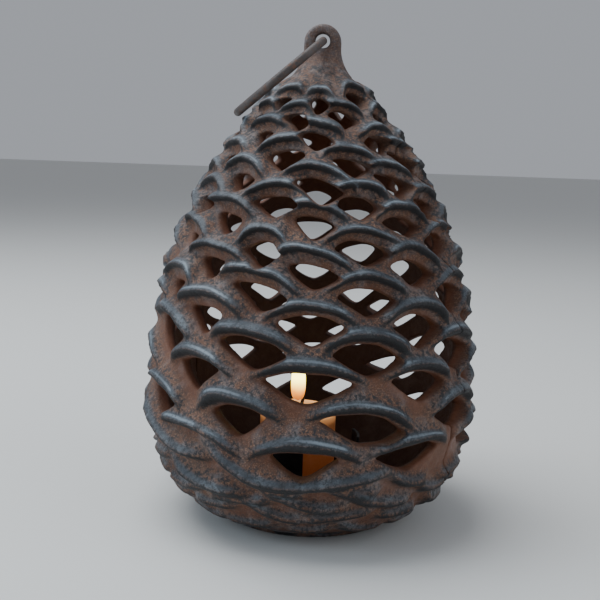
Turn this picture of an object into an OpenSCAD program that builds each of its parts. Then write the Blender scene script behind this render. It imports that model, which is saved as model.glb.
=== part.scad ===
// Pine-cone candle lantern: two cast-iron half shells on a side hinge, with a hanging ring and a candle.
// The foot stands on z = 0 and the body's axis is the Z axis. The lug faces -Y, the front.

/* [Body] */
// Radius over the tips of the scales at the widest part
body_r = 84; // [82:0.5:85]
// Height of the widest part
widest_z = 52; // [50:1:54]
// Radius of the foot ring
foot_r = 46; // [45:1:48]
// Thickness of the cast wall behind the scales
wall = 4.5; // [4:0.5:6]
// How far the scales stand out at the widest part
relief = 6; // [4:0.5:7]

/* [Windows] */
// Scales in one row around the body
scales_round = 9; // [9]
// Rows of windows, one under each row of scales
window_rows = 15; // [12:1:15]
// Width of a window as a share of its place in the row
window_w = 0.66; // [0.5:0.02:0.7]
// Height of a window as a share of the distance to the next window below it
window_h = 0.6; // [0.4:0.05:0.65]

/* [Door] */
// Gap between the two half shells
seam_gap = 0.8; // [0.6:0.1:1.2]
// Radius of a hinge pin
pin_r = 2; // [1.8:0.1:2.2]
// Radius of a hinge knuckle
knuckle_r = 4.6; // [4.4:0.1:5]

/* [Ring] */
// Diameter of the hanging ring, at the middle of its wire
ring_d = 53; // [50:1:56]
// Diameter of the ring's wire
wire_d = 4; // [3.6:0.1:4.2]
// Angle below level at which the ring rests on the shoulder
ring_rest = 41; // [36:1:42]
// Angle by which the loose ring leans, its front side lower
ring_lean = 5; // [0:1:6]

/* [Candle] */
// Diameter of the candle
candle_d = 38; // [36:1:42]
// Height of the candle
candle_h = 41.5; // [36:0.5:48]
// Outer diameter of the candle cup
cup_d = 52; // [50:0.5:52]
// Height of the cup's wall
cup_h = 13; // [10:1:18]
// Height of the cup's three prongs
prong_h = 30; // [24:1:38]

/* [Hidden] */
$fn = 64;

// Side of the body
crown_l = 180; // height above the widest part at which the upper curve would close
crown_power = 2.47;
skirt_power = 1.5;
crown_z = 214; // the crown above this height belongs to the front shell
crown_h = 6;
crown_overlap = 2; // how far the front half's wall runs up into the crown
crown_rim = 0.8; // how far the crown stands out past the wall
lip_drop = 1.6; // height of a scale's undercut
foot_bevel = 1.5;
inner_steps = 14; // faces of the wall's inner side
bore_over = 1; // how far a cut runs past the surface it opens
window_over = 6; // the same, for the windows

// Rows of scales, from the top down; the rows draw apart towards the foot
top_row_z = 203;
row_step = 9.2;
row_spread = 0.355;
spread_power = 2.2;
even_rows = 7; // rows before the spreading begins
foot_rows = [35, 24, 13, 4]; // scales without windows

// Seam and hinge
seam_az = 60; // azimuth of the seam that opens, from the front towards +X
hinge_az = seam_az - 180;
hinge_r = 90.5; // distance of the hinge axis from the body's axis
door_gap = 0.6; // between the door's top and the crown
knuckle_gap = 0.4;
hinge_foot_z = [34, 96]; // bottom of each hinge
hinge_h = 26;
knuckle_h = [7, 11, 7]; // front, door, front; the sum and two gaps are less than hinge_h
arm_t = 5;
arm_in = 21; // how far an arm reaches in from the hinge axis, into the wall
pin_head_r = 3.4;
pin_head_tip_r = 2.6;
pin_head_h = 1.4;
running_fit = 0.06;
closed = [[hinge_az, [9, 10, 13, 14]], [-40, [14]]]; // azimuth and rows: at the hinges and on the left flank

// Lug
lug_hole_z = 232;
lug_hole_r = 3.6;
lug_tip_z = 231;
lug_r = 9;
lug_foot_r = 11;
lug_t = 7;

// Foot and base plate
ledge_h = 5;
ledge_r = 36; // inner radius of the ledge in the front shell
plate_r = 45;
plate_t = 3;
plate_z = ledge_h;
screw_r = 2;
screw_place_r = 41;
screw_az = [-95, -30, 35];
screw_head_r = 3.8;
screw_head_h = 2.4;
screw_foot_z = 1;
screw_play = 0.2;
slot_w = 1;
rivet_r = 2;
rivet_head_r = 5;
rivet_head_h = 1.2;

// Cup and candle
cup_z = plate_z + plate_t;
cup_t = 1.2;
prong_az = [-23, 97, 217];
prong_angle = 36;
candle_gap = 0.2; // the candle stands to one side in its cup, this far from the cup's wall
candle_x = candle_d / 2 + cup_t + candle_gap - cup_d / 2;
candle_z = cup_z + cup_t;
candle_recess_r = 12; // clears the rivet's head
candle_recess_h = 2.5;
wick_r = 1;
wick_h = 7;
wick_deep = 28;
pool_r = 15;
pool_h = 1.6;

// Radius over the tips of the scales at height z.
function side_r(z) =
    z >= widest_z
        ? body_r * (1 - pow((z - widest_z) / crown_l, crown_power))
        : foot_r + (body_r - foot_r) * sqrt(1 - pow(1 - z / widest_z, skirt_power));

function depth_at(z) = relief * pow(side_r(z) / body_r, 0.7);
function inner_r(z) = side_r(z) - depth_at(z) - wall * (0.65 + 0.35 * side_r(z) / body_r);

// Height of the middle of window row n, counted from the top.
function row_z(n) = top_row_z - row_step * n - row_spread * pow(max(0, n - even_rows), spread_power);
function opening_h(n) = window_h * (row_z(n - 1) - row_z(n + 1));
function opening_w(n) = window_w * 2 * PI * side_r(row_z(n)) / scales_round;
function row_az(n, i) = (i + 0.5 * (n % 2)) * 360 / scales_round;

// Heights of the scales' tips, from the top down.
tips = concat([for (n = [0 : window_rows - 1]) row_z(n) + 0.55 * opening_h(n)], foot_rows);

// Signed angle of azimuth a from azimuth b, between -180 and 180.
function az_from(a, b) = let (d = (a - b) % 360) d > 180 ? d - 360 : (d < -180 ? d + 360 : d);

module at_azimuth(az) { rotate([0, 0, az - 90]) children(); } // local +X points outwards at that azimuth

// Outline of the wall from the foot up to top_z, in the half plane that is turned about the axis.
module wall_outline(top_z) {
    last = len(tips) - 1;
    outer = [
        for (k = [last : -1 : 0])
            each [
                [side_r(tips[k]) - depth_at(tips[k]), tips[k] - lip_drop],
                [side_r(tips[k]), tips[k]]
            ]
    ];
    inner = [for (s = [0 : inner_steps]) let (z = top_z * (1 - s / inner_steps)) [inner_r(z), z]];
    top_r = side_r(top_z) - depth_at(top_z);
    polygon(concat([[foot_r, 0], [foot_r + foot_bevel, foot_bevel]], outer, [[top_r, top_z]], inner));
}

module half_wall(from_az, top_z) {
    mid_az = from_az + 90;
    at_azimuth(mid_az) translate([seam_gap / 2, 0, 0]) rotate([0, 0, -90])
        rotate_extrude(angle = 180) wall_outline(top_z);
}

// One lens-shaped window through the wall, radial at azimuth az.
module window(n, az) {
    w = opening_w(n);
    rise = opening_h(n) / 2;
    arc_r = (w * w / 4 + rise * rise) / (2 * rise);
    far = side_r(row_z(n)) + window_over;
    near = max(bore_over, inner_r(row_z(n)) - window_over);
    at_azimuth(az) translate([near, 0, row_z(n)]) rotate([90, 0, 90]) linear_extrude(far - near)
        intersection() {
            translate([0, rise - arc_r]) circle(arc_r);
            translate([0, arc_r - rise]) circle(arc_r);
        }
}

// True where row n has no window at azimuth az.
function is_closed(n, az) =
    len([for (place = closed) if (abs(az_from(az, place[0])) < 5 && len(search(n, place[1])) > 0) n]) > 0;

// All windows whose middle is within reach degrees of azimuth mid.
module windows(mid, reach) {
    for (n = [0 : window_rows - 1], i = [0 : scales_round - 1]) {
        az = row_az(n, i);
        if (abs(az_from(az, mid)) <= reach && !is_closed(n, az)) window(n, az);
    }
}

module at_hinge_axis(z) { at_azimuth(hinge_az) translate([hinge_r, 0, z]) children(); }

// A knuckle and the arm that joins it to its shell; dir is the side of the seam that the arm is on.
module knuckle(z, h, dir) {
    at_hinge_axis(z) {
        cylinder(r = knuckle_r, h = h);
        translate([-arm_in, dir > 0 ? seam_gap / 2 : -arm_t, 0]) cube([arm_in, arm_t - seam_gap / 2, h]);
    }
}

module knuckle_bore(z, h, r) { at_hinge_axis(z - bore_over) cylinder(r = r, h = h + 2 * bore_over); }

// The three places of the base screws, on the floor.
module at_screws() { for (az = screw_az) at_azimuth(az) translate([screw_place_r, 0, 0]) children(); }

module front_shell() {
    color([0.36, 0.25, 0.2])
    difference() {
        union() {
            difference() {
                half_wall(seam_az - 180, crown_z + crown_overlap);
                windows(seam_az - 90, 95);
            }
            crown();
            ledge();
            for (z = hinge_foot_z) {
                knuckle(z, knuckle_h[0], 1);
                knuckle(z + hinge_h - knuckle_h[2], knuckle_h[2], 1);
            }
        }
        for (z = hinge_foot_z) knuckle_bore(z, hinge_h, pin_r);
        translate([0, 0, lug_hole_z]) rotate([90, 0, 0])
            cylinder(r = lug_hole_r, h = 3 * lug_t, center = true);
        at_screws() translate([0, 0, -bore_over]) cylinder(r = screw_r, h = plate_z + 2 * bore_over);
    }
}

// Solid crown with the hanging lug.
module crown() {
    crown_r = side_r(crown_z) - depth_at(crown_z) + crown_rim;
    translate([0, 0, crown_z]) cylinder(r1 = crown_r, r2 = lug_foot_r, h = crown_h);
    rotate([90, 0, 0]) linear_extrude(lug_t, center = true) {
        translate([0, lug_tip_z]) circle(lug_r);
        polygon([
            [-lug_foot_r, crown_z + 1], [lug_foot_r, crown_z + 1], [lug_r, lug_tip_z], [-lug_r, lug_tip_z]
        ]);
    }
}

// Half ring inside the foot that the base plate lies on.
module ledge() {
    at_azimuth(seam_az - 90) translate([seam_gap / 2, 0, 0]) rotate([0, 0, -90])
        rotate_extrude(angle = 180) translate([ledge_r, 0]) square([foot_r - ledge_r - 1, ledge_h]);
}

module rear_door() {
    color([0.34, 0.25, 0.21])
    difference() {
        union() {
            difference() {
                half_wall(seam_az, crown_z - door_gap);
                windows(seam_az + 90, 95);
            }
            for (z = hinge_foot_z) knuckle(z + knuckle_h[0] + knuckle_gap, knuckle_h[1], -1);
        }
        for (z = hinge_foot_z) knuckle_bore(z, hinge_h, pin_r + running_fit);
    }
}

module hinge_pins() {
    color([0.3, 0.3, 0.31])
    for (z = hinge_foot_z) {
        at_hinge_axis(z) cylinder(r = pin_r, h = hinge_h);
        at_hinge_axis(z + hinge_h) cylinder(r1 = pin_head_r, r2 = pin_head_tip_r, h = pin_head_h);
    }
}

// The ring passes through the lug along Y and turns about that line.
module ring_handle() {
    color([0.25, 0.2, 0.19])
    translate([0, 0, lug_hole_z]) rotate([0, -ring_rest, 0]) rotate([ring_lean, 0, 0])
        translate([-ring_d / 2, 0, 0]) rotate_extrude() translate([ring_d / 2, 0]) circle(wire_d / 2);
}

module base_plate() {
    color([0.28, 0.22, 0.19])
    difference() {
        translate([0, 0, plate_z]) cylinder(r = plate_r, h = plate_t);
        at_screws() cylinder(r = screw_r + screw_play, h = plate_z + plate_t + bore_over);
        cylinder(r = rivet_r, h = plate_z + plate_t + bore_over);
    }
}

module base_screws() {
    head_z = plate_z + plate_t;
    color([0.45, 0.45, 0.46])
    at_screws() difference() {
        union() {
            translate([0, 0, screw_foot_z]) cylinder(r = screw_r, h = head_z - screw_foot_z);
            translate([0, 0, head_z]) cylinder(r = screw_head_r, h = screw_head_h);
        }
        translate([0, 0, head_z + screw_head_h])
            cube([3 * screw_head_r, slot_w, screw_head_h], center = true);
    }
}

module candle_cup() {
    cup_r = cup_d / 2;
    gap_angle = 360 / len(prong_az) - prong_angle;
    color([0.2, 0.19, 0.19])
    translate([0, 0, cup_z]) difference() {
        rotate_extrude() polygon([
            [rivet_r, 0], [cup_r, 0], [cup_r, prong_h],
            [cup_r - cup_t, prong_h], [cup_r - cup_t, cup_t], [rivet_r, cup_t]
        ]);
        for (az = prong_az) rotate([0, 0, az - 90 + prong_angle / 2]) rotate_extrude(angle = gap_angle)
            translate([cup_r - cup_t - bore_over, cup_h]) square([cup_t + 2 * bore_over, prong_h]);
    }
}

module cup_rivet() {
    color([0.5, 0.5, 0.5]) {
        translate([0, 0, plate_z - rivet_head_h]) cylinder(r = rivet_head_r, h = rivet_head_h);
        translate([0, 0, plate_z]) cylinder(r = rivet_r, h = plate_t + cup_t);
        translate([0, 0, candle_z]) cylinder(r = rivet_head_r, h = rivet_head_h);
    }
}

module candle() {
    r = candle_d / 2;
    color([0.85, 0.56, 0.34])
    translate([candle_x, 0, candle_z]) rotate_extrude() polygon([
        [wick_r, candle_h - wick_deep],
        [0, candle_h - wick_deep],
        [0, candle_recess_h],
        [candle_recess_r, candle_recess_h],
        [candle_recess_r, 0],
        [r - 1, 0],
        [r, 1],
        [r, candle_h - 1],
        [r - 1, candle_h],
        [pool_r, candle_h - pool_h],
        [wick_r, candle_h - pool_h]
    ]);
}

module wick() {
    color([0.12, 0.1, 0.09])
    translate([candle_x, 0, candle_z + candle_h - wick_deep])
        cylinder(r = wick_r, h = wick_deep + wick_h - pool_h);
}

front_shell();
rear_door();
hinge_pins();
ring_handle();
base_plate();
base_screws();
candle_cup();
cup_rivet();
candle();
wick();
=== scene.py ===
import math

import bpy
import numpy as np
import openvdb
from mathutils import Matrix, Vector


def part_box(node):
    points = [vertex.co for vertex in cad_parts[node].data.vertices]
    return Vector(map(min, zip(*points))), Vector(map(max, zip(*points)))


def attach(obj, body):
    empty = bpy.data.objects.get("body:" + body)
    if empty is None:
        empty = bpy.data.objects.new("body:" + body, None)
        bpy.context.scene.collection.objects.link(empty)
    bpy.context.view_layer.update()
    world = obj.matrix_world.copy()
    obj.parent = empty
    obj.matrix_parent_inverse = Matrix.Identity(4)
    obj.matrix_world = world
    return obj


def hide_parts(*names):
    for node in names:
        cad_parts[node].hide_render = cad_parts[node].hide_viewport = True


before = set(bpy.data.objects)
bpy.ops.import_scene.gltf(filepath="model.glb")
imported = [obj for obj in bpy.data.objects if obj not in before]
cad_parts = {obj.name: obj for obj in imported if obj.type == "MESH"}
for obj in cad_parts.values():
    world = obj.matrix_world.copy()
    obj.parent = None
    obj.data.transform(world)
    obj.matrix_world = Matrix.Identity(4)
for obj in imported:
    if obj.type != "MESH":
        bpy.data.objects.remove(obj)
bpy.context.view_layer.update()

MM = 0.001
SCENE = bpy.context.scene
SEED = 7


def box_mm(node):
    """A CAD node's lowest and highest corners, in millimetres."""
    return [[round(c / MM, 3) for c in corner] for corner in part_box(node)]


# ---- the body, in millimetres and degrees as in the CAD model; azimuth 0 is the front, -Y, and 90 is +X ----
BODY_R = 84.0  # over the tips of the scales
WIDEST_Z = 52.0
FOOT_R = 46.0
CROWN_L = 180.0  # height above the widest part at which the upper curve would close
CROWN_POWER = 2.47
SKIRT_POWER = 1.5
CROWN_Z = 214.0  # the crown above this height belongs to the front half
CROWN_TOP_Z = 224.0
LEDGE_R = 36.0
LEDGE_OUTER_R = 45.0
LEDGE_H = 5.0

# Seam and hinges
SEAM_AZ = 60.0
SEAM_GAP = 0.7
DOOR_GAP = 0.6  # between the door's top and the crown
HINGE_AZ = SEAM_AZ - 180.0
HINGE_R = 90.5
HINGE_FOOT_Z = (34.0, 96.0)
HINGE_H = 26.0
KNUCKLE_H = (7.0, 11.0, 7.0)  # front, door, front
KNUCKLE_GAP = 0.4
KNUCKLE_R = 4.6
PIN_R = 2.0
PIN_PLAY = 0.1
ARM_T = 5.0
ARM_L = 20.0

# Lug
LUG_TIP_Z = 231.0
LUG_R = 9.0
LUG_T = 7.0
LUG_FOOT_R = 11.0
LUG_HOLE_Z = 232.0
LUG_HOLE_R = 3.6
LUG_BLEND = 6.0  # how softly the lug grows out of the crown
LUG_EDGE = 1.8
SMALL_EDGE = 0.6  # rounding of the knuckles, the arms and the ledge

# Rows of scales, counted from the top down; the rows draw apart towards the foot
SCALES_ROUND = 9
WINDOW_ROWS = 15
TOP_ROW_Z = 203.0
ROW_STEP = 9.2
ROW_SPREAD = 0.355
SPREAD_POWER = 2.2
EVEN_ROWS = 7
LOW_FROM = 8.5  # the row from which the scales take on the low rows' shape, and over how many rows
LOW_OVER = 2.5
FOOT_SCALES_ROUND = 14
FOOT_ROWS = (29.0, 21.5, 13.5, 5.0, -3.0)
FOOT_REACH = 20.0

# Scales that differ from their row, as azimuth and rows
CLOSED = ((HINGE_AZ, (9, 10, 13, 14)), (-40.0, (14,)))  # no window
NARROW = ((0.0, (14,)), (-20.0, (13,)), (-40.0, (12,)), (-60.0, (11, 13)))
NARROW_SHARE = 0.66
MOVED = {(-20.0, 13): (5.5, 1.0), (20.0, 13): (4.5, 3.5), (40.0, 14): (4.0, 0.5)}  # how far to the left and down
FLANK_AZ = -58.0  # the casting is closer on its left flank
FLANK_SPREAD = 32.0
FLANK_LOSS = 0.48  # share of a window's width that is closed there

# ---- the sculpted detail ----
RELIEF = 8.0  # depth of the deepest hollow below the scales' tips, on the widest part
RELIEF_POWER = 0.55  # how slowly the relief lessens where the body narrows
WALL = 4.2  # casting behind the deepest hollow
SWELL = 0.7  # what the smoothing takes off the tips, added back
FACE_SHARE = 0.45  # of a scale's reach, over which its face slopes back
FACE_POWER = 1.2
LIP_BEAD = 1.0  # how far the rounded edge of a lip stands out
LOW_LIP_GAIN = 0.45  # how much thicker the low rows' lips are, as a share, and the foot's
FOOT_LIP_GAIN = 0.6
LIP_ARCH = 2.3  # power of a lip's arch
LIP_RISE = 0.33  # height of a lip's arch, as a share of its niche; and what each row down to the eighth adds
RISE_GROWTH = 0.012
LEAST_RISE = 1.3
FOOT_SAG = 3.0  # the foot's lips arch down instead
TILT = -0.07
WINDOW_ARCH = 1.3  # power of the curve of a window's lower edge
WINDOW_SLOPE = 0.9  # how fast the wall rises beside a window
VEE = 2.4  # how much deeper the lowest windows' middle reaches
NICHE = 0.66  # the hollow under a lip, window included, as a share of the scale's reach
NICHE_GROWTH = 0.045  # added by each of the first four rows
NICHE_LOSS = 0.075  # taken off by each row below the middle of the ninth
FOOT_NICHE = 0.3
LOW_TRIM = 0.24  # share that is cut off the low niches
COVE = 0.36  # the curve between a lip and the window's top, as a share of the niche
COVE_LOSS = 0.14  # in the low rows
COVE_GAIN = 0.3  # where the casting is closer
CREST_SHARE = 0.2  # relief of the row above the windows
FULL_SHARE = 0.95
LOW_LOSS = 0.15
FOOT_SHARE = 0.45  # relief at the floor
FOOT_FADE_H = 30.0
BLUR_SAMPLES = 3

# Half widths, as shares of half a scale's place in its row: of the middle rows, and added to the upper and low ones
LIP_W = (0.72, 0.13, 0.08)
WINDOW_W = (0.54, 0.12, 0.18)
FOOT_LIP_W = 0.9

# Painted bands along a lip, among them the worn band with a painted sheen on its top and a painted shadow under the
# edge: where each is strongest, measured up from the edge, and its width
BEAD_BAND = (1.3, 1.5)
# painted shadow under a lip's edge
UNDER_SHADOW_BAND = (-0.1, 1.25)
NEAR_BAND = (2.5, 4.5)
# the lip band: worn metal with a painted sheen and painted highlight along the lip's top
LIP_BAND = 2.0
LIP_BAND_W = (1.1, 1.45)  # below and above its middle
CREST_PAINT = 0.5  # strength above the windows and at the foot
FOOT_PAINT = 0.7

# Spread of the scales' random size, width, height, place and slant
SIZES = (0.8, 1.15)
WIDTHS = (0.88, 1.18)
LIFT = 1.5
SHIFT = 2.0
LEAN = 0.1
FREE_ROWS = 11  # rows above the flame, where the spread is wider by these factors
FREE_LIFT = 1.4
FREE_LEAN = 1.8
FREE_SIZE = 1.6

# Long lips that sweep round the foot: azimuth and height of the start, of the lowest point and of the end
SWEEPS = (
    (-38.0, 54.0, -8.0, 35.0, 31.0, 41.0),
    (-82.0, 62.0, -38.0, 42.0, -32.0, 43.0),
    (-58.0, 40.0, -30.0, 27.0, -18.0, 28.0),
    (78.0, 46.0, 112.0, 30.0, 148.0, 42.0),
    (-178.0, 42.0, -150.0, 28.0, -128.0, 36.0),
)
SWEEP_FACE = 13.0  # height over which the face above such a lip slopes back
SWEEP_END = 11.0  # degrees over which its ends fade
SWEEP_LIP_SHARE = 0.85

# A small round pit in the right flank
PIT_AZ = 75.0
PIT_Z = 57.0
PIT_R = 2.8
PIT_SLOPE = 3.0

# Maps and meshes
MAP_U = 1440  # samples round the body
MAP_STEP = 0.25  # millimetres between the maps' rows
MAP_TOP = 231.0
SCALE_SPAN = 34.0  # degrees to each side that one scale can touch
SCALE_TALL = 1.3  # and how far up and down, as a share of its reach
FAR = 9.0  # distance that stands for far away in a field
VOXEL = 0.9
RELAX_STEPS = 4
FRONT_GRID = ((-87.0, -87.0, -2.0), (76.0, 54.0, 242.0))
DOOR_GRID = ((-86.0, -48.0, -2.0), (87.0, 87.0, 216.0))

# Candle and flame
(candle_left, _, CANDLE_Z), (candle_right, _, CANDLE_TOP) = box_mm("candle")
CANDLE_X = (candle_left + candle_right) / 2
CANDLE_R = (candle_right - candle_left) / 2
RECESS_R = 12.0  # the hollow under the candle
RECESS_H = 2.5
RIM_H = 2.5
MELTED = 0.22  # how far the melted rim and sides are out of true
GLOW_FOOT_H = 8.0  # height in the candle at which its painted glow begins
WICK_R = 0.85
FLAME_Z = CANDLE_TOP + 3.9
FLAME_H = 27.0
FLAME_R = 3.7
FLAME_STEPS = 22

# ---- stage, light and camera, in metres and degrees ----
FLOOR_SIZE = 60
SKY_COLOUR = (0.88, 0.92, 1.0)
SKY_STRENGTH = 0.42
LIGHTS = (  # name, place, target, size, watts, colour
    ("sky", (-0.5, 0.1, 1.4), (0, 0, 0.1), 1.2, 26, (0.92, 0.96, 1.0)),
    ("window", (-1.3, -0.4, 0.6), (0, 0, 0.12), 0.9, 9, (0.7, 0.85, 1.0)),
    ("fill", (1.2, -0.6, 0.7), (0, 0, 0.1), 1.1, 6, (0.85, 0.92, 1.0)),
)
CAMERA_PLACE = (0, -0.4655, 0.1748)
CAMERA_YAW = 0.82
CAMERA_DOWN = 8.4
CAMERA_ROLL = 2.0
CAMERA_LENS = 56.5
CAMERA_SENSOR = 36.0


# ---- curves of the body ----
def side_r(z):
    """Radius over the scales' tips at height z."""
    z = np.asarray(z, float)
    up = np.clip((z - WIDEST_Z) / CROWN_L, 0, 1)
    down = np.clip(1 - z / WIDEST_Z, 0, 1)
    upper = BODY_R * (1 - up ** CROWN_POWER)
    lower = FOOT_R + (BODY_R - FOOT_R) * np.sqrt(np.clip(1 - down ** SKIRT_POWER, 0, 1))
    return np.where(z >= WIDEST_Z, upper, lower)


def relief_at(z):
    """Depth of the deepest hollow at height z."""
    return RELIEF * (side_r(z) / BODY_R) ** RELIEF_POWER


def row_z(n):
    """Height of the middle of window row n."""
    return TOP_ROW_Z - ROW_STEP * n - ROW_SPREAD * max(0.0, n - EVEN_ROWS) ** SPREAD_POWER


def wrapped(angle):
    """The angle between -180 and 180 degrees."""
    return (angle + 180) % 360 - 180


def ramp_up(value, start, length):
    """0 below start, 1 a length further on."""
    return float(np.clip((value - start) / length, 0, 1))


def band(x, middle, width):
    """1 at the middle, fading to both sides."""
    return np.exp(-(((x - middle) / width) ** 2))


def smooth_max(a, b, k):
    """The larger of two values; where they differ by less than k, it goes over smoothly from one to the other."""
    h = np.clip(0.5 + 0.5 * (a - b) / k, 0, 1)
    return b + (a - b) * h + k * h * (1 - h) / 2


def smooth_min(a, b, k):
    return -smooth_max(-a, -b, k)


# ---- maps of the scales, unrolled: one row per height, one column per azimuth ----
def value_noise(rng, across, up, shape):
    """Smooth noise from -1 to 1 over a map, closed round the body, with a number of knots each way."""
    knots = rng.uniform(-1, 1, (up + 3, across))
    rows, cols = shape
    y = np.linspace(0, up, rows)
    x = np.arange(cols) * across / cols
    y0, x0 = np.floor(y).astype(int), np.floor(x).astype(int)
    fy, fx = y - y0, x - x0
    fy = (fy * fy * (3 - 2 * fy))[:, None]
    fx = (fx * fx * (3 - 2 * fx))[None, :]
    x1 = (x0 + 1) % across
    a = knots[y0][:, x0] * (1 - fx) + knots[y0][:, x1] * fx
    b = knots[y0 + 1][:, x0] * (1 - fx) + knots[y0 + 1][:, x1] * fx
    return a * (1 - fy) + b * fy


def blurred(grid, reach):
    """Box blur over 2 * reach + 1 samples each way, closed round the body."""
    grid = sum(np.roll(grid, k, axis=1) for k in range(-reach, reach + 1)) / (2 * reach + 1)
    padded = np.pad(grid, ((reach, reach), (0, 0)), mode="edge")
    return sum(padded[k : k + len(grid)] for k in range(2 * reach + 1)) / (2 * reach + 1)


def listed(az, n, places):
    """True if places, pairs of an azimuth and its rows, hold row n at azimuth az."""
    return any(abs(wrapped(az - place)) < 5 and n in rows for place, rows in places)


def row_width(n, middle, more_above, more_below):
    """Share of half a scale's place that a row's lips or windows take up to each side."""
    return middle + more_above * (1 - ramp_up(n, 2, 5)) + more_below * ramp_up(n, 10, 2)


def flank_share(az, n):
    """Share of a window's width that stays open beside the left flank."""
    return 1 - FLANK_LOSS * math.exp(-((wrapped(az - FLANK_AZ) / FLANK_SPREAD) ** 2)) * (n < FREE_ROWS)


class Row:
    """What the scales of one row share; reach is the height from one scale to the next in the same column."""

    def __init__(self, n, z_mid, reach):
        self.n, self.reach = n, reach
        self.at_foot = n >= WINDOW_ROWS
        self.no_windows = self.at_foot or n < 0
        self.lower = ramp_up(n, LOW_FROM, LOW_OVER)  # 0 in the upper rows, 1 in the low ones
        share = NICHE + NICHE_GROWTH * max(0, min(n, 4)) - NICHE_LOSS * max(0.0, n - 9.5)
        niche = reach * (FOOT_NICHE if self.at_foot else share)
        trim = LOW_TRIM * self.lower * niche
        self.niche = niche - trim
        self.z_mid = z_mid + 0.1 * trim
        self.count = FOOT_SCALES_ROUND if self.at_foot else SCALES_ROUND
        self.half = math.pi * float(side_r(max(self.z_mid, 0.0))) / self.count
        self.w_lip, self.w_window = row_width(n, *LIP_W), row_width(n, *WINDOW_W)
        self.vee = VEE * ramp_up(n, 9, 2)
        self.thick = 1 + (FOOT_LIP_GAIN if self.at_foot else LOW_LIP_GAIN * self.lower)
        self.dark_from = 0.5 if self.at_foot else -0.4 + 0.5 * self.lower
        self.relief = float(relief_at(self.z_mid)) * (CREST_SHARE if n < 0 else FULL_SHARE)
        self.relief *= min(1.0, FOOT_SHARE + max(self.z_mid, 0.0) / FOOT_FADE_H) * (1 - LOW_LOSS * self.lower)
        self.paint = CREST_PAINT if n < 0 else FOOT_PAINT if self.at_foot else 1.0


def scale_rows():
    """The rows from the top down, from the one above the windows to the foot's."""
    rows = [Row(n, row_z(n), row_z(n - 1) - row_z(n + 1)) for n in range(-1, WINDOW_ROWS)]
    return rows + [Row(WINDOW_ROWS + k, z, FOOT_REACH) for k, z in enumerate(FOOT_ROWS)]


def raise_to(grid, block, values):
    """Raises a block of a map to the values where they are higher."""
    grid[block] = np.maximum(grid[block], values)


def draw_scale(maps, row, az, rng):
    """Adds one scale's height, lip and window to the maps."""
    n, niche = row.n, row.niche
    size, wide = rng.uniform(*SIZES), rng.uniform(*WIDTHS)
    lift, shift, lean = rng.uniform(-LIFT, LIFT), rng.uniform(-SHIFT, SHIFT), rng.uniform(-LEAN, LEAN)
    if n < FREE_ROWS:
        lift, lean, size = FREE_LIFT * lift, FREE_LEAN * lean, FREE_SIZE * (size - 1) + 1
    left, down = MOVED.get((wrapped(az), n), (0.0, 0.0))
    shift, lift = shift + left, lift - down
    if row.at_foot:
        w_lip, rise, tilt = FOOT_LIP_W * wide, 20 * lean - FOOT_SAG * size, TILT + 2.5 * lean
    else:
        w_lip, rise = row.w_lip, (LIP_RISE + RISE_GROWTH * min(n, 8)) * niche * size + LEAST_RISE
        tilt = TILT + 0.8 * lean
    w_lip *= row.half * wide
    open_share = flank_share(az, n)
    cove = (COVE - COVE_LOSS * row.lower + COVE_GAIN * (1 - open_share)) * niche

    # The part of the maps that the scale can touch
    span = int(SCALE_SPAN / 360 * MAP_U)
    cols = (int(round(az / 360 * MAP_U)) + np.arange(-span, span + 1)) % MAP_U
    low = max(0, int((row.z_mid - SCALE_TALL * row.reach) / MAP_STEP))
    high = min(len(maps["z"]), int((row.z_mid + SCALE_TALL * row.reach) / MAP_STEP))
    if high <= low:
        return
    block = np.ix_(np.arange(low, high), cols)

    # a runs across the scale and b up it from its middle; s is the height above the lip's arched edge
    z = maps["z"][low:high, None]
    a = np.radians(wrapped(maps["az"][cols] - az))[None, :] * side_r(z) + maps["warp_u"][block] + shift
    b = z - row.z_mid - lift + maps["warp_z"][block] - tilt * a
    q = np.abs(a) / w_lip
    s = b - niche / 2 + rise * q ** LIP_ARCH
    above = (1 - np.clip(s / (FACE_SHARE * row.reach), 0, 1)) ** FACE_POWER
    below = 0.5 * np.exp(np.minimum(s, 0) / 1.1) + 0.5 * np.clip(1 + s / cove, 0, 1) ** 1.4
    bead = LIP_BEAD * band(s / row.thick, *BEAD_BAND) * (row.relief / RELIEF)
    h = (row.relief * np.where(s > 0, above, below) + bead) * (np.clip(1.3 - q, 0, 0.55) / 0.55)
    maps["height"][block] = smooth_max(maps["height"][block], h, 1.0)

    # paint masks: the lip band of wear with a painted sheen and highlight, the painted shadow under the lip, and
    # grit near it
    fade = np.clip(1.25 - q, 0, 0.6) / 0.6 * row.paint
    t = (s - row.dark_from) / row.thick
    raise_to(maps["lip"], block, band(t, LIP_BAND, np.where(t > LIP_BAND, LIP_BAND_W[1], LIP_BAND_W[0])) * fade)
    raise_to(maps["under"], block, band(t, *UNDER_SHADOW_BAND) * fade)
    raise_to(maps["near"], block, band(s, *NEAR_BAND) * fade)
    if row.no_windows or listed(az, n, CLOSED):
        return
    w_window = row.w_window * row.half * wide * (NARROW_SHARE if listed(az, n, NARROW) else 1.0) * open_share
    top = niche / 2 - cove - rise * q ** LIP_ARCH - b
    bottom = b + niche / 2 + row.vee - (0.45 * niche + row.vee) * (np.abs(a) / w_window) ** WINDOW_ARCH
    opening = smooth_min(WINDOW_SLOPE * top, WINDOW_SLOPE * bottom, 2.0)
    raise_to(maps["hole"], block, np.clip(opening, -FAR, FAR))


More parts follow.
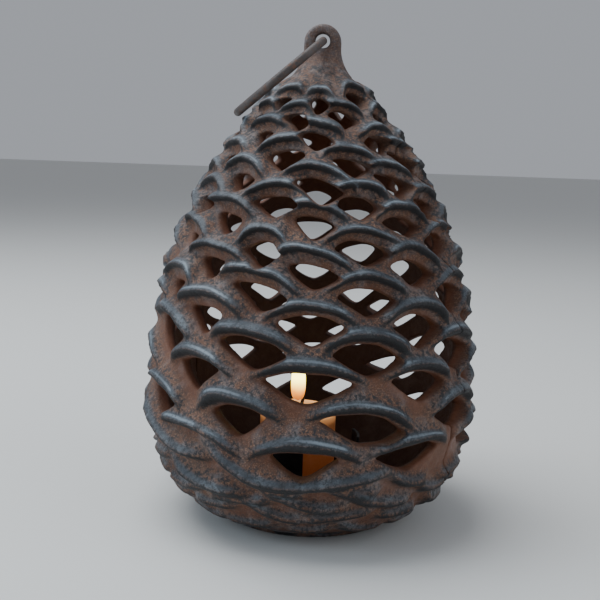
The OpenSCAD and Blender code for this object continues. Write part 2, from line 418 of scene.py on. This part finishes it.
def draw_sweep(maps, start, z_start, lowest, z_lowest, end, z_end):
    """Adds one long lip, two half parabolas that meet at its lowest point, over the scales."""
    du = wrapped(maps["az"] - lowest)
    before, after = (z_start - z_lowest) / (start - lowest) ** 2, (z_end - z_lowest) / (end - lowest) ** 2
    curve = np.where(du < 0, before, after)
    slope = 2 * curve * du / math.radians(BODY_R)
    s = maps["z"][:, None] - z_lowest - (curve * du ** 2)[None, :] + maps["warp_z"]
    s = s / np.sqrt(1 + slope ** 2)[None, :]
    from_end = np.minimum(du - (start - lowest), (end - lowest) - du)
    fade = np.clip(from_end / SWEEP_END, 0, 1)[None, :] ** 0.6
    h = RELIEF * np.where(s > 0, 1 - np.clip(s / SWEEP_FACE, 0, 1), np.exp(np.minimum(s, 0) / 1.4))
    h += LIP_BEAD * band(s, 1.8, 2.2)
    maps["height"] = smooth_max(maps["height"], h * fade, 1.2)
    # the sweep's paint: wear with a painted sheen on its lip, a painted shadow under it, and grit near it
    uncovered = 1 - band(np.maximum(np.abs(s - 2) - 3, 0), 0, 2) * fade
    maps["lip"] = np.maximum(maps["lip"] * uncovered, SWEEP_LIP_SHARE * band(s, 3.6, 2.4) * fade)
    maps["under"] = np.maximum(maps["under"] * uncovered, band(s, -0.1, 1.9) * fade)
    maps["near"] = np.maximum(maps["near"], band(s, *NEAR_BAND) * fade)


def build_maps():
    """Works out depth below the scales' tips, windows, lips and their surroundings on the unrolled maps."""
    zs = np.arange(0, MAP_TOP + MAP_STEP, MAP_STEP)
    us = np.arange(MAP_U) * 360.0 / MAP_U
    shape = (len(zs), MAP_U)
    maps = {name: np.zeros(shape) for name in ("height", "lip", "under", "near")}
    maps.update(z=zs, az=us, hole=np.full(shape, -FAR))
    rng = np.random.RandomState(SEED)
    for name, strength in (("warp_u", 1.6), ("warp_z", 1.3)):
        maps[name] = strength * value_noise(rng, 22, 18, shape) + 0.4 * value_noise(rng, 56, 44, shape)
    for row in scale_rows():
        for i in range(row.count):
            draw_scale(maps, row, (i + 0.5 * (row.n % 2)) * 360.0 / row.count, rng)
    for sweep in SWEEPS:
        draw_sweep(maps, *sweep)
    from_pit = np.hypot(np.radians(wrapped(us - PIT_AZ))[None, :] * BODY_R, zs[:, None] - PIT_Z)
    height = maps["height"] - PIT_SLOPE * np.clip(1.2 - from_pit / PIT_R, 0, 0.6)
    height *= np.clip(0.25 + zs / 12, 0, 1)[:, None]  # the relief runs out towards the floor
    height = blurred(blurred(height, BLUR_SAMPLES), BLUR_SAMPLES)
    dents = 0.35 * value_noise(rng, 50, 40, shape) + 0.12 * value_noise(rng, 140, 100, shape)
    maps["depth"] = relief_at(zs)[:, None] - height + dents - SWELL
    return maps


MAPS = build_maps()


# ---- the shells as fields of distance, negative inside ----
def look_up(name, u, z):
    """Bilinear value of a map at azimuth u (degrees) and height z."""
    grid = MAPS[name]
    y = np.clip(z / MAP_STEP, 0, grid.shape[0] - 1.001)
    x = (u % 360.0) / 360.0 * MAP_U
    y0, x0 = y.astype(int), x.astype(int)
    fy, fx = y - y0, x - x0
    x0 %= MAP_U
    x1 = (x0 + 1) % MAP_U
    bottom = grid[y0, x0] * (1 - fx) + grid[y0, x1] * fx
    top = grid[y0 + 1, x0] * (1 - fx) + grid[y0 + 1, x1] * fx
    return bottom * (1 - fy) + top * fy


def shell_depth(x, y, z):
    """Azimuth, radius and depth below the scales' tips of a point."""
    u = np.degrees(np.arctan2(x, -y))
    r = np.hypot(x, y)
    slope = side_r(z + 0.5) - side_r(z - 0.5)
    lean = 1 / np.sqrt(1 + np.clip(slope, -3, 3) ** 2)
    return u, r, (side_r(z) - r) * lean


def azimuth_dir(az):
    """x and y of the direction out at an azimuth."""
    return math.sin(math.radians(az)), -math.cos(math.radians(az))


def rounded(qx, qy, edge):
    """Distance to a corner of two faces whose distances are qx and qy, rounded by edge."""
    qx, qy = qx + edge, qy + edge
    outside = np.sqrt(np.maximum(qx, 0) ** 2 + np.maximum(qy, 0) ** 2)
    return outside + np.minimum(np.maximum(qx, qy), 0) - edge


def lug_field(x, y, z):
    """The rounded tab on the crown."""
    widen = np.clip((LUG_TIP_Z - z) / (LUG_TIP_Z - CROWN_Z), 0, 1.6)
    half = LUG_R + (LUG_FOOT_R - LUG_R) * widen ** 1.5
    tab = np.where(z > LUG_TIP_Z, np.hypot(x, z - LUG_TIP_Z) - LUG_R, np.abs(x) - half)
    tab = np.maximum(tab, CROWN_Z + 1 - z)
    return rounded(tab, np.abs(y) - LUG_T / 2, LUG_EDGE)


def hinge_field(x, y, z, across, side):
    """The knuckles of one half and the arms that join them to its wall; and the distance to the hinge axis."""
    hx, hy = azimuth_dir(HINGE_AZ)
    from_axis = np.hypot(x - hx * HINGE_R, y - hy * HINGE_R)
    along = x * hx + y * hy
    out = np.full_like(from_axis, FAR)
    for foot in HINGE_FOOT_Z:
        spans = [(foot, KNUCKLE_H[0]), (foot + HINGE_H - KNUCKLE_H[2], KNUCKLE_H[2])]
        if side < 0:
            spans = [(foot + KNUCKLE_H[0] + KNUCKLE_GAP, KNUCKLE_H[1])]
        for low, h in spans:
            ends = np.abs(z - low - h / 2) - h / 2
            barrel = rounded(from_axis - KNUCKLE_R, ends, SMALL_EDGE)
            arm_across = np.abs(across - (SEAM_GAP + ARM_T) / 2) - (ARM_T - SEAM_GAP) / 2
            arm_along = np.abs(along - HINGE_R + ARM_L / 2) - ARM_L / 2
            arm = rounded(np.maximum(arm_across, arm_along), ends, SMALL_EDGE)
            out = np.minimum(out, smooth_min(barrel, arm, 1.5))
    return out, from_axis


def shell_field(x, y, z, side):
    """Signed distance, nearly, to one half shell; side is +1 for the front half and -1 for the rear."""
    u, r, t = shell_depth(x, y, z)
    depth = look_up("depth", u, z)
    inner = relief_at(z) + WALL * (0.7 + 0.3 * side_r(z) / BODY_R)
    solid = smooth_max(depth - t, t - inner, 1.0)
    solid = smooth_max(solid, look_up("hole", u, z), 1.6)
    solid = smooth_max(solid, -z, 0.8)
    nx, ny = azimuth_dir(SEAM_AZ - 90)
    across = side * (x * nx + y * ny)
    half = smooth_max(solid, SEAM_GAP / 2 - across, 0.5)
    if side < 0:
        half = np.maximum(half, z - CROWN_Z + DOOR_GAP)
    else:
        crown = np.maximum(np.maximum(depth - t, CROWN_Z - z), z - CROWN_TOP_Z)
        half = np.minimum(np.maximum(half, z - CROWN_Z - 1), crown)
        half = smooth_min(half, lug_field(x, y, z), LUG_BLEND)
        half = smooth_max(half, LUG_HOLE_R - np.hypot(x, z - LUG_HOLE_Z), 1.2)
        ledge = np.maximum(rounded(np.maximum(LEDGE_R - r, r - LEDGE_OUTER_R), z - LEDGE_H, SMALL_EDGE), -z)
        half = smooth_min(half, np.maximum(ledge, SEAM_GAP / 2 - across), 0.8)
    knuckles, from_axis = hinge_field(x, y, z, across, side)
    half = smooth_min(half, knuckles, 1.5)
    at_hinges = (z > HINGE_FOOT_Z[0] - 1) & (z < HINGE_FOOT_Z[-1] + HINGE_H + 1)
    return np.maximum(half, np.where(at_hinges, PIN_R + PIN_PLAY - from_axis, -FAR))


def relaxed(points, quads):
    """The points drawn a little towards their neighbours, to take the grid's steps off the edges."""
    edges = np.concatenate([quads[:, [0, 1]], quads[:, [1, 2]], quads[:, [2, 3]], quads[:, [3, 0]]])
    count = np.bincount(edges.ravel(), minlength=len(points))[:, None]
    for _ in range(RELAX_STEPS):
        total = np.zeros_like(points)
        for axis in range(3):
            total[:, axis] = np.bincount(edges[:, 0], points[edges[:, 1], axis], len(points))
            total[:, axis] += np.bincount(edges[:, 1], points[edges[:, 0], axis], len(points))
        points = 0.5 * points + 0.5 * total / count
    return points


def add_mesh(name, points, faces):
    """A smooth-shaded object from points in metres."""
    mesh = bpy.data.meshes.new(name)
    mesh.from_pydata(points, [], faces)
    mesh.shade_smooth()
    obj = bpy.data.objects.new(name, mesh)
    SCENE.collection.objects.link(obj)
    return obj


def mesh_from_field(name, side, low, high):
    """Samples the field on a grid and turns its zero surface into a mesh object."""
    counts = [int(math.ceil((end - start) / VOXEL)) + 1 for start, end in zip(low, high)]
    values = np.empty(counts, np.float32)
    yy, zz = np.meshgrid(low[1] + VOXEL * np.arange(counts[1]), low[2] + VOXEL * np.arange(counts[2]), indexing="ij")
    for k in range(counts[0]):
        xx = np.full_like(yy, low[0] + VOXEL * k)
        values[k] = np.clip(shell_field(xx, yy, zz, side), -2 * VOXEL, 2 * VOXEL)
    grid = openvdb.FloatGrid(2 * VOXEL)
    grid.copyFromArray(values)
    points, quads = grid.convertToQuads(isovalue=0.0)
    points = relaxed(points * VOXEL + np.array(low), quads) * MM
    return add_mesh(name, points.tolist(), quads.tolist())


def paint_masks(obj):
    """Stores, per vertex, how near it is to a lip's edge, how far under one, and how deep below the tips; these
    steer the lips' wear and painted sheen, the painted shadow under them and the painted shade deep inside.
    """
    mesh = obj.data
    co = np.empty(len(mesh.vertices) * 3)
    mesh.vertices.foreach_get("co", co)
    x, y, z = co.reshape(-1, 3).T / MM
    u, _, t = shell_depth(x, y, z)
    z = np.clip(z, 0, MAP_TOP - 1)
    outside = np.clip(1 - (t - look_up("depth", u, z) - 0.4) / 2.0, 0, 1)
    crown = np.clip((z - CROWN_Z - 4) / 6.0, 0, 1)
    masks = {name: look_up(name, u, z) * outside * (1 - crown) for name in ("lip", "under", "near")}
    # the crown takes half of the lips' paint: wear with a painted sheen
    masks["lip"] = np.maximum(masks["lip"], 0.5 * crown)
    # deep steers both the rust in the hollows and the painted shade inside the body
    masks["deep"] = np.clip((t + SWELL) / (RELIEF + WALL), 0, 1) * (1 - crown)
    for name, values in masks.items():
        attribute = mesh.attributes.new(name, "FLOAT", "POINT")
        attribute.data.foreach_set("value", np.ascontiguousarray(values, np.float32))


# ---- materials ----
class Nodes:
    """A material's node tree with short ways to add and join nodes."""

    def __init__(self, name):
        self.mat = bpy.data.materials.new(name)
        self.mat.use_nodes = True
        self.tree = self.mat.node_tree
        self.bsdf = self.tree.nodes["Principled BSDF"]

    def add(self, kind, **values):
        node = self.tree.nodes.new(kind)
        for key, value in values.items():
            setattr(node, key, value)
        return node

    def feed(self, socket, value):
        """Gives a socket a node's output, a number, a vector or a colour."""
        if isinstance(value, bpy.types.NodeSocket):
            self.tree.links.new(value, socket)
        else:
            socket.default_value = (*value, 1) if socket.type == "RGBA" else value

    def shade(self, name, value):
        """Feeds one input of the shader."""
        self.feed(self.bsdf.inputs[name], value)

    def coords(self):
        node = self.tree.nodes.get("coords") or self.add("ShaderNodeTexCoord", name="coords")
        return node.outputs["Object"]

    def noise(self, scale, detail=4.0, rough=0.55, distortion=0.0):
        node = self.add("ShaderNodeTexNoise")
        inputs = {"Scale": scale, "Detail": detail, "Roughness": rough, "Distortion": distortion}
        for name, value in {"Vector": self.coords(), **inputs}.items():
            self.feed(node.inputs[name], value)
        return node.outputs["Fac"]

    def ramp(self, fac, stops):
        """Colours or greys at places along fac."""
        node = self.add("ShaderNodeValToRGB")
        ramp = node.color_ramp
        while len(ramp.elements) < len(stops):
            ramp.elements.new(0.5)
        for element, (place, colour) in zip(ramp.elements, stops):
            element.position = place
            element.color = (*colour, 1) if isinstance(colour, tuple) else (colour, colour, colour, 1)
        self.feed(node.inputs["Fac"], fac)
        return node.outputs["Color"]

    def fade(self, fac, start, end, low=0.0, high=1.0):
        """low where fac is below start, changing to high at end."""
        return self.ramp(fac, [(start, low), (end, high)])

    def mix(self, fac, a, b):
        node = self.add("ShaderNodeMix", data_type="RGBA")
        colour_a, colour_b = node.inputs[6], node.inputs[7]
        for socket, value in ((node.inputs["Factor"], fac), (colour_a, a), (colour_b, b)):
            self.feed(socket, value)
        return node.outputs[2]

    def math(self, operation, a, b, clamp=False):
        node = self.add("ShaderNodeMath", operation=operation, use_clamp=clamp)
        self.feed(node.inputs[0], a)
        self.feed(node.inputs[1], b)
        return node.outputs[0]

    def height(self, low, high):
        """0 at the height low to 1 at the height high, in millimetres at rest."""
        parts = self.add("ShaderNodeSeparateXYZ")
        self.feed(parts.inputs[0], self.coords())
        node = self.add("ShaderNodeMapRange")
        for name, value in (("Value", parts.outputs["Z"]), ("From Min", low * MM), ("From Max", high * MM)):
            self.feed(node.inputs[name], value)
        return node.outputs["Result"]

    def attribute(self, name):
        return self.add("ShaderNodeAttribute", attribute_name=name).outputs["Fac"]

    def bump(self, heights):
        """Chains bumps of (height, distance in millimetres, strength) into the shader's normal."""
        last = None
        for height, distance, strength in heights:
            node = self.add("ShaderNodeBump")
            for name, value in (("Height", height), ("Distance", distance * MM), ("Strength", strength)):
                self.feed(node.inputs[name], value)
            if last:
                self.feed(node.inputs["Normal"], last)
            last = node.outputs["Normal"]
        self.shade("Normal", last)


def cast_iron():
    """Rusty casting: sandy brown faces, blue-grey lips that are partly worn metal and partly a painted sheen with
    painted highlights, a painted black shadow below them, orange rust in the windows and painted shade deep inside.
    """
    m = Nodes("cast_iron")
    broad, patch = m.noise(30, 4), m.noise(95, 5, 0.62, 0.4)
    fine, speck = m.noise(620, 5, 0.7), m.noise(1700, 3, 0.6)
    lip, under, deep, near = (m.attribute(name) for name in ("lip", "under", "deep", "near"))

    # Faces: brown, greyed in patches that are partly wear and partly a painted sheen, with sand, and with dark grit
    # near the lips
    grey, sand, soot = (0.115, 0.112, 0.118), (0.32, 0.19, 0.12), (0.02, 0.019, 0.021)
    face = m.ramp(broad, [(0.3, (0.07, 0.029, 0.017)), (0.5, (0.112, 0.051, 0.03)), (0.7, (0.13, 0.07, 0.046))])
    # grey patches: partly worn metal, partly a painted sheen
    face = m.mix(m.fade(patch, 0.48, 0.68, high=0.8), face, grey)
    face = m.mix(m.fade(speck, 0.5, 0.66, high=0.6), face, sand)
    grit = m.math("MULTIPLY", m.math("ADD", near, 0.22), m.fade(fine, 0.42, 0.53, 1.5, 0.0), clamp=True)
    face = m.mix(grit, face, soot)

    # Hollows: orange rust, painted shade deep inside the body, and a painted black shadow under the lips
    inside, painted_shade_under_lip = (0.045, 0.018, 0.011), (0.006, 0.0065, 0.008)
    rust = m.fade(patch, 0.3, 0.7, (0.1, 0.03, 0.012), (0.19, 0.066, 0.027))
    base = m.mix(m.fade(deep, 0.45, 0.75), face, rust)
    # painted shade: the deepest parts, inside the body, go near black-brown
    base = m.mix(m.fade(deep, 0.84, 0.97, high=0.85), base, inside)
    # painted shadow: near black under the lips, broken up by fine noise
    shadow = m.math("MULTIPLY", under, m.fade(fine, 0.3, 0.62, 1.4, 0.75))
    base = m.mix(m.fade(shadow, 0.18, 0.55, high=0.97), base, painted_shade_under_lip)

    # Lips: partly worn blue-grey metal and partly a painted sheen of sky light on their tops, with dark pores and
    # painted highlight streaks
    pore, painted_highlight = (0.018, 0.023, 0.028), (0.27, 0.33, 0.38)
    worn_and_sheen = m.ramp(patch, [(0.3, (0.017, 0.024, 0.032)), (0.5, (0.036, 0.051, 0.066)), (0.7, (0.11, 0.135, 0.155))])
    worn_and_sheen = m.mix(m.fade(speck, 0.36, 0.5, 0.75, 0.0), worn_and_sheen, pore)
    highlight_streak = m.math("MULTIPLY", lip, m.fade(broad, 0.35, 0.6, 0.82, 1.0))
    worn_and_sheen = m.mix(m.fade(highlight_streak, 0.86, 0.98, high=0.6), worn_and_sheen, painted_highlight)
    on_lip = m.fade(m.math("MULTIPLY", lip, m.fade(fine, 0.34, 0.6, 0.5, 1.2)), 0.36, 0.8, high=0.95)
    m.shade("Base Color", m.mix(on_lip, base, worn_and_sheen))

    smoother = (0.5, 0.5, 0.5)
    plain = m.mix(m.fade(patch, 0.48, 0.68), m.fade(fine, 0.3, 0.7, 0.62, 0.85), smoother)
    m.shade("Roughness", m.mix(on_lip, plain, m.fade(speck, 0.3, 0.7, 0.27, 0.45)))
    m.bump([(m.noise(140, 4), 1.1, 0.6), (fine, 0.6, 0.85), (speck, 0.25, 0.75)])
    return m.mat


def aged_metal(name, dark, light, rust, rust_from, rough, metallic=0.0):
    """Metal with clouded colour, rust spots where the noise is above rust_from, and a worn surface."""
    m = Nodes(name)
    cloud, spots, grain = m.noise(160, 5, 0.6), m.noise(384, 5, 0.68), m.noise(1440, 3)
    base = m.mix(m.fade(spots, rust_from, rust_from + 0.14, high=0.9), m.fade(cloud, 0.35, 0.65, dark, light), rust)
    pore = tuple(0.4 * c for c in dark)
    m.shade("Base Color", m.mix(m.fade(grain, 0.3, 0.5, 0.4, 0.0), base, pore))
    m.shade("Roughness", m.fade(spots, 0.35, 0.7, rough, min(1.0, rough + 0.3)))
    m.shade("Metallic", metallic)
    m.bump([(cloud, 0.5, 0.35), (spots, 0.25, 0.45), (grain, 0.08, 0.4)])
    return m.mat


def wax():
    """Orange wax with a painted glow near its top, standing in for the flame lighting it from within."""
    m = Nodes("wax")
    cloud, grain = m.noise(70, 4), m.noise(900, 3)
    height = m.height(CANDLE_Z + GLOW_FOOT_H, CANDLE_TOP)
    dust = (0.4, 0.25, 0.14)
    orange = m.fade(cloud, 0.3, 0.7, (0.36, 0.12, 0.036), (0.44, 0.16, 0.055))
    glow = m.ramp(height, [(0.0, (0.6, 0.1, 0.015)), (0.75, (1.0, 0.26, 0.05)), (0.95, (1.0, 0.48, 0.17))])
    m.shade("Base Color", m.mix(m.fade(grain, 0.35, 0.6, 0.12, 0.0), orange, dust))
    m.shade("Roughness", m.fade(cloud, 0.3, 0.7, 0.38, 0.55))
    m.shade("Subsurface Weight", 0.35)
    m.shade("Subsurface Radius", (6 * MM, 3 * MM, 1.5 * MM))
    # painted glow: emission where the flame's light would shine through the wax
    m.shade("Emission Color", glow)
    m.shade("Emission Strength", m.ramp(height, [(0.2, 0.07), (0.82, 0.07), (0.93, 0.4), (1.0, 1.35)]))
    m.bump([(cloud, 0.5, 0.3), (grain, 0.06, 0.3)])
    return m.mat


def charred_cotton():
    """Black strands with grey ash on them."""
    m = Nodes("wick")
    strands, ash = m.noise(1400, 3, 0.6, 1.5), m.noise(500, 3)
    grey = (0.09, 0.08, 0.07)
    black = m.fade(strands, 0.35, 0.65, (0.008, 0.007, 0.006), (0.04, 0.03, 0.024))
    m.shade("Base Color", m.mix(m.fade(ash, 0.5, 0.7, high=0.7), black, grey))
    m.shade("Roughness", m.fade(strands, 0.3, 0.7, 0.8, 1.0))
    m.bump([(strands, 0.2, 0.7)])
    return m.mat


def fire():
    """A flame: red and dim at the wick, bright yellow above."""
    m = Nodes("flame")
    height, flicker = m.height(FLAME_Z, FLAME_Z + FLAME_H), m.noise(160, 2)
    red, orange, yellow, pale = (0.6, 0.1, 0.01), (1.0, 0.3, 0.02), (1.0, 0.8, 0.16), (1.0, 0.85, 0.22)
    warm = m.ramp(height, [(0.0, red), (0.18, orange), (0.38, yellow), (0.8, pale)])
    m.shade("Base Color", (0.02, 0.01, 0.005))
    m.shade("Roughness", 1.0)
    m.shade("Emission Color", m.mix(m.fade(flicker, 0.4, 0.7, high=0.2), warm, (1.0, 0.8, 0.3)))
    m.shade("Emission Strength", m.ramp(height, [(0.0, 1.0), (0.2, 2.5), (0.45, 8.0), (1.0, 6.0)]))
    return m.mat


IRON = cast_iron()
RING_IRON = aged_metal(
    "ring_iron", dark=(0.035, 0.027, 0.025), light=(0.075, 0.058, 0.052), rust=(0.13, 0.06, 0.034), rust_from=0.52,
    rough=0.48,
)
PLATE = aged_metal(
    "plate", dark=(0.04, 0.026, 0.02), light=(0.085, 0.055, 0.04), rust=(0.17, 0.07, 0.032), rust_from=0.45,
    rough=0.62,
)
CUP = aged_metal(
    "cup", dark=(0.007, 0.007, 0.008), light=(0.02, 0.019, 0.019), rust=(0.07, 0.032, 0.018), rust_from=0.6,
    rough=0.45,
)
STEEL = aged_metal(
    "steel", dark=(0.16, 0.15, 0.145), light=(0.3, 0.285, 0.27), rust=(0.16, 0.075, 0.035), rust_from=0.58,
    rough=0.38, metallic=0.8,
)


# ---- the two castings ----
def finish_piece(obj, material, body, node=None):
    """Gives a piece its material and body, and hides the CAD node that it stands in for."""
    obj.data.materials.append(material)
    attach(obj, body)
    if node:
        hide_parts(node)


def add_shell(name, node, body, side, grid):
    """Adds one sculpted half shell in place of a CAD node."""
    shell = mesh_from_field(name, side, *grid)
    paint_masks(shell)
    finish_piece(shell, IRON, body, node)


add_shell("front_shell_casting", "front_shell", "body", 1, FRONT_GRID)
add_shell("rear_door_casting", "rear_door", "door", -1, DOOR_GRID)


# ---- candle, wick and flame ----
def turned(name, centre, outline, sides, uneven=0.0):
    """A solid turned about an upright line; outline is (radius, height) from the axis below to the axis above."""
    rng = np.random.RandomState(SEED)
    angles = np.arange(sides) * 2 * math.pi / sides
    waves = sum(rng.uniform(-1, 1) * np.sin(k * angles + rng.uniform(0, 6)) for k in (2, 3, 5, 8)) / 2
    points = [(centre[0], centre[1], outline[0][1])]
    for radius, height in outline[1:-1]:
        r = radius + uneven * waves * (height > outline[0][1] + 2)
        lift = 0.8 * uneven * np.roll(waves, sides // 3) * (height > CANDLE_TOP - RIM_H)
        points += list(zip(centre[0] + r * np.cos(angles), centre[1] + r * np.sin(angles), height + lift))
    points.append((centre[0], centre[1], outline[-1][1]))
    rings = len(outline) - 2
    faces = [(0, 1 + (k + 1) % sides, 1 + k) for k in range(sides)]
    for ring in range(rings - 1):
        a, b = 1 + ring * sides, 1 + (ring + 1) * sides
        faces += [(a + k, a + (k + 1) % sides, b + (k + 1) % sides, b + k) for k in range(sides)]
    last = 1 + (rings - 1) * sides
    faces += [(last + k, last + (k + 1) % sides, len(points) - 1) for k in range(sides)]
    return add_mesh(name, [tuple(MM * float(c) for c in p) for p in points], faces)


def add_candle():
    """A melted candle: a hollow below, straight sides, a rounded rim and a shallow pool."""
    r, foot, top = CANDLE_R, CANDLE_Z, CANDLE_TOP
    roof = foot + RECESS_H
    hollow = [(0, roof), (RECESS_R - 0.1, roof), (RECESS_R, roof - 0.1)]
    hollow += [(RECESS_R, foot + 0.1), (RECESS_R + 0.1, foot)]
    side = [(r - 0.9, foot), (r - 0.2, foot + 0.5), (r, foot + 1.2), (r, foot + 12), (r, top - 6), (r, top - 1.4)]
    rim = [(r - 0.4, top - 0.5), (r - 1.2, top), (r - 2.4, top - 0.2), (r - 4.5, top - 1.1)]
    pool = [(r - 8, top - 1.9), (r - 13, top - 2.3), (2.5, top - 2.4), (1.2, top - 2.2), (0, top - 2.1)]
    candle = turned("melted_candle", (CANDLE_X, 0), hollow + side + rim + pool, 96, MELTED)
    finish_piece(candle, wax(), "candle", "candle")


def add_wick():
    """A twisted wick, bent by the flame."""
    x, top = CANDLE_X, CANDLE_TOP
    line = [(x, 0, top - 3.5), (x + 0.1, 0, top - 1.6), (x + 0.8, -0.1, top + 0.6), (x + 1.7, -0.2, top + 2.6)]
    line += [(x + 2.2, -0.2, top + 4.6), (x + 2.0, -0.2, top + 5.8)]
    curve = bpy.data.curves.new("wick_path", "CURVE")
    curve.dimensions, curve.bevel_depth, curve.bevel_resolution = "3D", WICK_R * MM, 4
    curve.use_fill_caps = True
    spline = curve.splines.new("POLY")
    spline.points.add(len(line) - 1)
    for point, place in zip(spline.points, line):
        point.co = (*(MM * c for c in place), 1)
    path = bpy.data.objects.new("wick_path", curve)
    mesh = bpy.data.meshes.new_from_object(path)
    bpy.data.objects.remove(path)
    mesh.name = "burnt_wick"
    mesh.shade_smooth()
    obj = bpy.data.objects.new("burnt_wick", mesh)
    SCENE.collection.objects.link(obj)
    finish_piece(obj, charred_cotton(), "candle", "wick")


def add_flame():
    """A drop that is widest a third of the way up."""
    outline = [(0, FLAME_Z)]
    for k in range(1, FLAME_STEPS):
        t = k / FLAME_STEPS
        outline.append((FLAME_R * math.sin(math.pi * t ** 0.6) ** 0.5, FLAME_Z + FLAME_H * t))
    outline.append((0, FLAME_Z + FLAME_H))
    finish_piece(turned("flame", (CANDLE_X - 0.4, -0.1), outline, 32), fire(), "candle")


add_candle()
add_wick()
add_flame()
for node, material in (
    ("ring_handle", RING_IRON),
    ("base_plate", PLATE),
    ("base_screws", STEEL),
    ("hinge_pins", STEEL),
    ("candle_cup", CUP),
    ("cup_rivet", STEEL),
):
    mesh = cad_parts[node].data
    mesh.materials.clear()
    mesh.materials.append(material)


# ---- stage, light and camera ----
def add_floor():
    bpy.ops.mesh.primitive_plane_add(size=FLOOR_SIZE, location=(0, 0, 0))
    floor = bpy.context.object
    floor.name = "floor"
    m = Nodes("floor")
    m.shade("Base Color", (0.62, 0.62, 0.6))
    m.shade("Roughness", 0.7)
    floor.data.materials.append(m.mat)


def add_light(name, place, target, size, power, colour):
    data = bpy.data.lights.new(name, "AREA")
    data.size, data.energy, data.color = size, power, colour
    light = bpy.data.objects.new(name, data)
    light.location = place
    light.rotation_euler = (Vector(target) - Vector(place)).to_track_quat("-Z", "Y").to_euler()
    SCENE.collection.objects.link(light)


def add_world():
    world = bpy.data.worlds.new("studio")
    world.use_nodes = True
    background = world.node_tree.nodes["Background"]
    background.inputs["Color"].default_value = (*SKY_COLOUR, 1)
    background.inputs["Strength"].default_value = SKY_STRENGTH
    SCENE.world = world


def add_camera():
    """Eye height and distance of someone seated at the table, looking slightly down at the lantern."""
    data = bpy.data.cameras.new("camera")
    data.lens, data.sensor_width = CAMERA_LENS, CAMERA_SENSOR
    data.clip_start, data.clip_end = 0.01, 20
    camera = bpy.data.objects.new("camera", data)
    yaw, pitch, roll = (math.radians(angle) for angle in (CAMERA_YAW, 90 - CAMERA_DOWN, CAMERA_ROLL))
    turn = Matrix.Rotation(yaw, 4, "Z") @ Matrix.Rotation(pitch, 4, "X") @ Matrix.Rotation(roll, 4, "Z")
    camera.matrix_world = Matrix.Translation(CAMERA_PLACE) @ turn
    SCENE.collection.objects.link(camera)
    SCENE.camera = camera


add_floor()
add_world()
for light in LIGHTS:
    add_light(*light)
add_camera()
